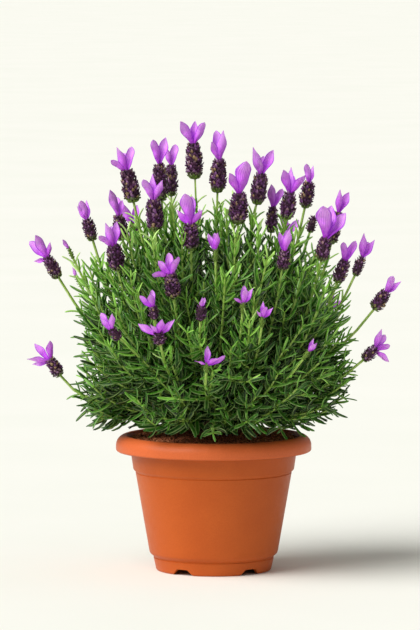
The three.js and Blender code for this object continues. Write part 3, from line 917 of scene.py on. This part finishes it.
def side_shoots(path, draw, first, last, spacing, reach):
    """Short shoots that leave a stem by turns on either side and bend upwards."""
    shoots = []
    length = path_length(path)
    count = max(int(length * (last - first) / spacing), 1)
    turn = draw.uniform(0, 2 * math.pi)
    for i in range(count):
        t = first + (last - first) * (i + draw.uniform(0.2, 0.8)) / count
        start, way = point_on(path, t), way_on(path, t)
        turn += math.pi / 2 + draw.uniform(-0.5, 0.5)
        side = turned_to(way, turn, Vector()) @ Vector((1, 0, 0))
        span = reach * draw.uniform(0.7, 1.15)
        out = (way + side * draw.uniform(0.7, 1.0)).normalized()
        end = start + out * span
        if dome_share(end) > SIDES_REACH or end.z < SOIL_TOP + SIDE_OVER_SOIL:
            continue
        arrival = (out + way * 0.6 + Vector((0, 0, 0.35))).normalized()
        shoots.append((start, start + out * span * 0.35, end - arrival * span * 0.35, end))
    return shoots


# The leaves.

def leaf_masters():
    """Narrow, thick leaves with blunt tips, each with the place of its tip. They grow along +Z and
    curl by so many degrees towards +Y, or back towards their stem where that is below nought."""
    outline = [(0, 0.4), (0.14, 0.8), (0.38, 1.0), (0.66, 1.0), (0.9, 0.78), (1, 0.3)]
    masters = []
    for curl in LEAF_CURLS:
        leaf = draw_out(f"leaf_{curl}", [
            ((0, 0, LEAF_LENGTH * along), LEAF_WIDTH / 2 * width, LEAF_DEPTH / 2 * width)
            for along, width in outline
        ], 4)
        mesh = leaf.data
        set_number(mesh, "along", [v.co.z / LEAF_LENGTH for v in mesh.vertices])
        set_number(mesh, "across", [v.co.x / (LEAF_WIDTH / 2) for v in mesh.vertices])
        smooth(leaf, 85)
        turn = math.radians(curl)
        apply_modifier(leaf, "SIMPLE_DEFORM", deform_method="BEND", deform_axis="X", angle=turn)
        tip = max((v.co.copy() for v in mesh.vertices), key=lambda place: place.length)
        masters.append((leaf, tip))
    return masters


def clear_of_pot(tip):
    """Whether a leaf's tip is clear of the rim and the soil."""
    beside = Vector((tip.x, tip.y)).length
    if beside < OPENING_RADIUS - 3 * MM:
        return tip.z > SOIL_TOP + LEAF_OVER_SOIL
    if beside < RIM_RADIUS + 3 * MM:
        return tip.z > POT_HEIGHT + LEAF_OVER_RIM
    return tip.z > POT_HEIGHT + LEAF_OVER_POT


def leaves_along(path, draw, masters, first, last, size, spacing, small_ones, widest=LEAVES_REACH):
    """Pairs of leaves, each a quarter turn from the pair below, with so many smaller leaves between
    them. They close up towards the tip and lie closer to the stem higher in the dome. Leaves that
    stand out the most curl back towards the stem the most, and low ones sag. Their tone carries
    painted shade, darker deeper inside the dome, and painted light, lighter higher up."""
    places = []
    length = path_length(path)
    count = max(int(length * (last - first) / spacing), 2)
    start_turn = draw.uniform(0, 2 * math.pi)
    own_tone = draw.gauss(0, 0.06)
    for i in range(count + 1):
        share = i / count
        t = first + (last - first) * share
        place, way = point_on(path, t), way_on(path, t)
        high = min(max((place.z - SOIL_TOP) / (DOME_MIDDLE.z + DOME_RISE - SOIL_TOP), 0), 1)
        # painted shade and painted light: leaves darken deeper inside the dome and lighten higher up,
        # where more light falls
        shade = own_tone + (FOOT_PAINTED_LIGHT + PAINTED_LIGHT_RISE * high) * min(dome_share(place), 1) ** PAINTED_SHADE_DEPTH
        young = max(share - YOUNG_FROM, 0) / (1 - YOUNG_FROM)
        turn = start_turn + i * math.pi / 2
        ring = [(turn, 1.0, 0), (turn + math.pi, 1.0, 0)]
        for k in range(small_ones):
            ring.append((turn + math.pi / 2 + k * math.pi + draw.uniform(-0.4, 0.4), 0.55, -12))
        for angle, part, closer in ring:
            opening = WIDEST_OPENING - CLOSED_BY_HEIGHT * high - CLOSED_BY_YOUTH * young + closer
            opened = draw.gauss(opening, OPENING_SPREAD)
            grown = size * part * draw.uniform(0.82, 1.1) * (1 - 0.4 * young)
            lean = turned_to(way, angle + draw.uniform(-0.18, 0.18), place)
            matrix = lean @ Matrix.Rotation(math.radians(-opened), 4, "X") @ Matrix.Scale(grown, 4)
            sag = -3.5 * matrix.col[1].to_3d().normalized().z * (1 - high) ** 3
            choice = int((90 - opened) / 12 + sag + draw.uniform(-0.4, 1.2))
            leaf, tip = masters[min(max(choice, 0), len(masters) - 1)]
            tip = matrix @ tip
            if not clear_of_pot(tip) or dome_share(tip) > widest:
                continue
            tone = min(max(shade + 0.14 * young + draw.gauss(0, 0.12), 0), 1)
            places.append((leaf, matrix, {"tone": tone}))
    return places


def leafy_end(head, path):
    """How far up its stem a flower head's leaves go."""
    if head.name in LEAFY_HEADS:
        return 0.97
    length = path_length(path)
    bare = 12 * MM
    for i in range(40, 0, -1):
        t = i / 40
        if dome_share(point_on(path, t)) < 0.93 and (1 - t) * length > bare:
            return t
    return 0.4


def add_side_shoots(sides, stems, places, masters, draw):
    for side in sides:
        stems.append((side, STEM_RADIUS * 0.7, STEM_RADIUS * 0.45))
        places += leaves_along(
            side, draw, masters, SIDE_LEAVES_FROM, 1, SIDE_LEAF_SIZE, SIDE_NODE_SPACING, 0
        )


def make_branch(name, shoots, masters, draw):
    stems, places = [], []
    for head in (head for head in HEADS if head.branch == name):
        path = stem_path(name, head.foot + head.axis * 0.4 * MM, head.axis)
        stems.append((path, STEM_RADIUS * 1.1, STEM_RADIUS * 0.8))
        last = leafy_end(head, path)
        widest = LEAFY_HEADS_REACH if head.name in LEAFY_HEADS else LEAVES_REACH
        places += leaves_along(path, draw, masters, LEAVES_FROM, last, 1.0, NODE_SPACING, 1, widest)
        sides = side_shoots(path, draw, 0.3, last - 0.08, SIDE_SPACING, HEAD_SIDE_LENGTH)
        add_side_shoots(sides, stems, places, masters, draw)
    for path in shoots:
        stems.append((path, STEM_RADIUS * 1.15, STEM_RADIUS * 0.6))
        places += leaves_along(path, draw, masters, LEAVES_FROM, 1, 1.0, NODE_SPACING, 1)
        sides = side_shoots(path, draw, 0.35, 0.8, SIDE_SPACING, SIDE_LENGTH)
        add_side_shoots(sides, stems, places, masters, draw)
    stem_piece = tubes(f"stems_{name}", stems, 0, 7)
    smooth(stem_piece, 50)
    finished(stem_piece, "stem_green", [f"branch_{name}"])
    leaf_piece = planted(f"leaves_{name}", places)
    finished(leaf_piece, "leaf_green", [f"branch_{name}"])


def make_foliage():
    draw = random.Random(11)
    masters = leaf_masters()
    shoots = leafy_shoots(draw)
    for name in BRANCHES:
        make_branch(name, shoots[name], masters, draw)
    drop(leaf for leaf, tip in masters)


# The spikes.

SPIKE_OUTLINE = [
    (0.0, 0.22), (0.04, 0.55), (0.14, 0.78), (0.35, 0.88), (0.6, 0.84), (0.85, 0.64), (1.0, 0.3),
]
SCALE_LENGTH = 4.2 * MM
FLORET_LENGTH = 3.2 * MM
YOUNG_SPIKE = 14 * MM  # a spike shorter than this is still slim and green
ROW_SPACING = 2.3 * MM
RADIUS_PER_SCALE = 0.8 * MM  # each adds one scale to a row
SCALE_TONES = (0.05, 0.12, 0.2, 0.26, 0.32, 0.38, 0.44, 0.52, 0.62, 0.8)


def spike_width(share):
    for (low, first), (high, last) in zip(SPIKE_OUTLINE, SPIKE_OUTLINE[1:]):
        if share <= high:
            return first + (last - first) * (share - low) / (high - low)
    return SPIKE_OUTLINE[-1][1]


def spike_masters():
    core = turned("spike_core", [(width, share) for share, width in SPIKE_OUTLINE], 12)
    set_number(core.data, "along", [0.0] * len(core.data.vertices))
    scale_rings = [
        ((0, 0, 0), 0.5, 0.28),
        ((0, 0.12, 0.35), 1.0, 0.42),
        ((0, 0.12, 0.7), 0.8, 0.34),
        ((0, 0.0, 1.0), 0.14, 0.12),
    ]
    scale = draw_out("scale", [
        (Vector(centre) * SCALE_LENGTH, 1.55 * MM * width, 1.5 * MM * depth)
        for centre, width, depth in scale_rings
    ], 5)
    set_number(scale.data, "along", [v.co.z / SCALE_LENGTH for v in scale.data.vertices])
    floret = draw_out("floret", [
        ((0, 0, 0), 0.5 * MM, 0.5 * MM),
        ((0, 0, FLORET_LENGTH * 0.5), 0.65 * MM, 0.6 * MM),
        ((0, 0, FLORET_LENGTH * 0.85), 1.0 * MM, 0.9 * MM),
        ((0, 0, FLORET_LENGTH), 0.5 * MM, 0.5 * MM),
    ], 5)
    set_number(floret.data, "along", [0.5 + 0.5 * v.co.z / FLORET_LENGTH for v in floret.data.vertices])
    for piece in (core, scale, floret):
        smooth(piece, 60)
    return core, scale, floret


def make_spike(head, masters, draw):
    core, scale, floret = masters
    young = head.length < YOUNG_SPIKE
    radius = head.radius * (0.55 if young else 1.0)
    stand = turned_to(head.axis, draw.uniform(0, 6), head.foot)
    size = Matrix.Diagonal((radius * 0.8, radius * 0.8, head.length, 1))
    places = [(core, stand @ size, {"tone": 0.1, "height": 0.0 if young else 0.5})]
    rows = max(round(head.length / ROW_SPACING), 4)
    around = max(round(radius / RADIUS_PER_SCALE), 5)
    part = min(max(radius / (8 * MM), 0.6), 1.1)
    for row in range(rows):
        share = 0.02 + 0.9 * row / (rows - 1)
        height = 0.0 if young else share
        reach = radius * spike_width(share) * 0.78
        for i in range(around):
            angle = 2 * math.pi * (i + 0.5 * (row % 2)) / around + draw.uniform(-0.2, 0.2)
            spot = Matrix.Rotation(angle, 4, "Z") @ Matrix.Translation((0, reach, head.length * share))
            lean = Matrix.Rotation(math.radians(draw.gauss(-30 if row else -44, 13)), 4, "X")
            grown = Matrix.Scale(part * draw.uniform(0.8, 1.15), 4)
            numbers = {"tone": draw.choice(SCALE_TONES), "height": height}
            places.append((scale, stand @ spot @ lean @ grown, numbers))
            if young or row == 0 or draw.random() > 0.4:
                continue
            between = Matrix.Rotation(angle + math.pi / around, 4, "Z")
            spot = between @ Matrix.Translation((0, reach, head.length * share))
            lean = Matrix.Rotation(math.radians(draw.gauss(-64, 12)), 4, "X")
            numbers = {"tone": draw.uniform(0.05, 0.5), "height": height}
            places.append((floret, stand @ spot @ lean @ grown, numbers))
    spike = planted(f"spike_{head.name}", places)
    finished(spike, "spike_scales", [head.node])


# The bracts.

BRACT_LENGTH = 30 * MM
BRACT_WIDTH = 9 * MM
BROAD_BRACT = 34 * MM  # a bract longer than this is a broad one


def bract_master(number, outline, cup, recurve, twist, ruffle):
    """A thin blade along +Z with its outer face towards +Y: outline gives its half width along it,
    and it turns by twist degrees towards its tip."""
    deselect_all()
    rows, columns = len(outline) - 1, 6
    bpy.ops.mesh.primitive_grid_add(x_subdivisions=columns, y_subdivisions=rows, size=1)
    bract = new_piece(f"bract_{number}")
    for vertex in bract.data.vertices:
        side = vertex.co.x * 2
        row = round((vertex.co.y + 0.5) * rows)
        along, width = outline[row]
        turn = math.radians(twist) * along ** 2
        wavy = 1 + 0.13 * math.sin(9 * along + 2 * number + (2.2 if side > 0 else 0))
        beside = side * width * wavy * BRACT_WIDTH / 2
        out = -cup * side * side * width * (1 - 0.6 * along)
        vertex.co.x = beside * math.cos(turn)
        vertex.co.y = (recurve * along ** 2.2 + out) * BRACT_LENGTH + beside * math.sin(turn)
        vertex.co.z = along * BRACT_LENGTH
    waves = bpy.data.textures.new(f"bract_waves_{number}", "CLOUDS")
    waves.noise_scale = 6 * MM
    apply_modifier(bract, "DISPLACE", texture=waves, strength=ruffle * MM, mid_level=0.5, direction="Y")
    apply_modifier(bract, "SOLIDIFY", thickness=0.35 * MM, offset=0)
    take(bract)
    bpy.ops.object.mode_set(mode="EDIT")
    bpy.ops.mesh.select_all(action="SELECT")
    bpy.ops.mesh.normals_make_consistent(inside=False)
    bpy.ops.object.mode_set(mode="OBJECT")
    smooth(bract, 60)
    return bract


def petal_outline(point, fullness, tip):
    """Half widths along a bract: widest at a point of its length, ending in a blunt or fine tip."""
    rows = 12
    outline = []
    for i in range(rows + 1):
        along = i / rows
        if along < point:
            width = 0.2 + (fullness - 0.2) * math.sin(along / point * math.pi / 2) ** 1.7
        else:
            width = fullness * max(math.cos((along - point) / (1 - point) * math.pi / 2), 0) ** tip
        outline.append((along, max(width, 0.05)))
    return outline


def bract_masters():
    """Four shapes: two that end in a fine point, one blunt and one broad."""
    return [
        bract_master(0, petal_outline(0.58, 0.9, 0.85), 0.16, 0.07, 24, 3.4),
        bract_master(1, petal_outline(0.52, 0.84, 1.05), 0.16, -0.05, -30, 3.2),
        bract_master(2, petal_outline(0.64, 1.0, 0.55), 0.16, 0.03, 12, 3.6),
        bract_master(3, petal_outline(0.6, 1.15, 0.75), 0.2, 0.08, -18, 5),
    ]


def make_bracts(head, masters, draw):
    right = Vector((1, 0, 0))
    right = (right - head.axis * right.dot(head.axis)).normalized()
    front = right.cross(head.axis)
    places = []
    for tip in sorted(head.tips, key=lambda tip: tuple(round(value, 4) for value in tip)):
        way = tip - head.bract_root
        length = way.length
        way.normalize()
        face = front * (1 if way.dot(front) >= 0 else -1) + right * 0.5 * way.dot(right)
        face = (face - way * face.dot(way)).normalized()
        side = face.cross(way)
        turn = Matrix((side, face, way)).transposed().to_4x4()
        part = length / BRACT_LENGTH
        broad = part * draw.uniform(0.98, 1.2)
        matrix = Matrix.Translation(head.bract_root) @ turn @ Matrix.Diagonal((broad, part, part, 1))
        master = masters[3] if length > BROAD_BRACT else draw.choice(masters[:3])
        places.append((master, matrix, {"tone": draw.uniform(0.0, 0.9)}))
    bracts = planted(f"bracts_{head.name}", places)
    finished(bracts, "bract_violet", [head.node])


def make_flower_heads():
    draw = random.Random(23)
    spikes, bracts = spike_masters(), bract_masters()
    for head in HEADS:
        make_spike(head, spikes, draw)
        if head.tips:
            make_bracts(head, bracts, draw)
    drop([*spikes, *bracts])


# The studio.

SKY_STRENGTH = 0.36
KEY_WAY = polar(-148, 44)
KEY_ENERGY = 3.6
KEY_SPREAD = 50
LENS = 280.7
CAMERA_SIDE = -3.77 * MM
CAMERA_PLACE = Vector((CAMERA_SIDE, -5.0, 0.665))
CAMERA_AIM = Vector((CAMERA_SIDE, 0, 0.2615))


def make_studio():
    deselect_all()
    bpy.ops.mesh.primitive_plane_add(size=3000, location=(0, 0, 0))
    floor = new_piece("studio_floor")
    floor.data.materials.append(FINISHES["studio_floor"])

    scene = bpy.context.scene
    world = bpy.data.worlds.new("studio_light")
    world.use_nodes = True
    background = world.node_tree.nodes["Background"]
    background.inputs["Color"].default_value = colour(253, 251, 246)
    background.inputs["Strength"].default_value = SKY_STRENGTH
    scene.world = world

    key = bpy.data.lights.new("key", "SUN")
    key.energy = KEY_ENERGY
    key.angle = math.radians(KEY_SPREAD)
    key.color = (1, 0.985, 0.96)
    key_lamp = bpy.data.objects.new("key", key)
    key_lamp.rotation_euler = KEY_WAY.to_track_quat("Z", "Y").to_euler()
    scene.collection.objects.link(key_lamp)

    lens = bpy.data.cameras.new("camera")
    lens.lens = LENS
    lens.sensor_width = 36
    lens.clip_end = 200
    camera = bpy.data.objects.new("camera", lens)
    camera.location = CAMERA_PLACE
    camera.rotation_euler = (CAMERA_AIM - CAMERA_PLACE).to_track_quat("-Z", "Y").to_euler()
    scene.collection.objects.link(camera)
    scene.camera = camera
    scene.view_settings.view_transform = "Standard"


make_studio()
make_pot()
make_soil()
make_crumbs()
make_woody_base()
make_foliage()
make_flower_heads()
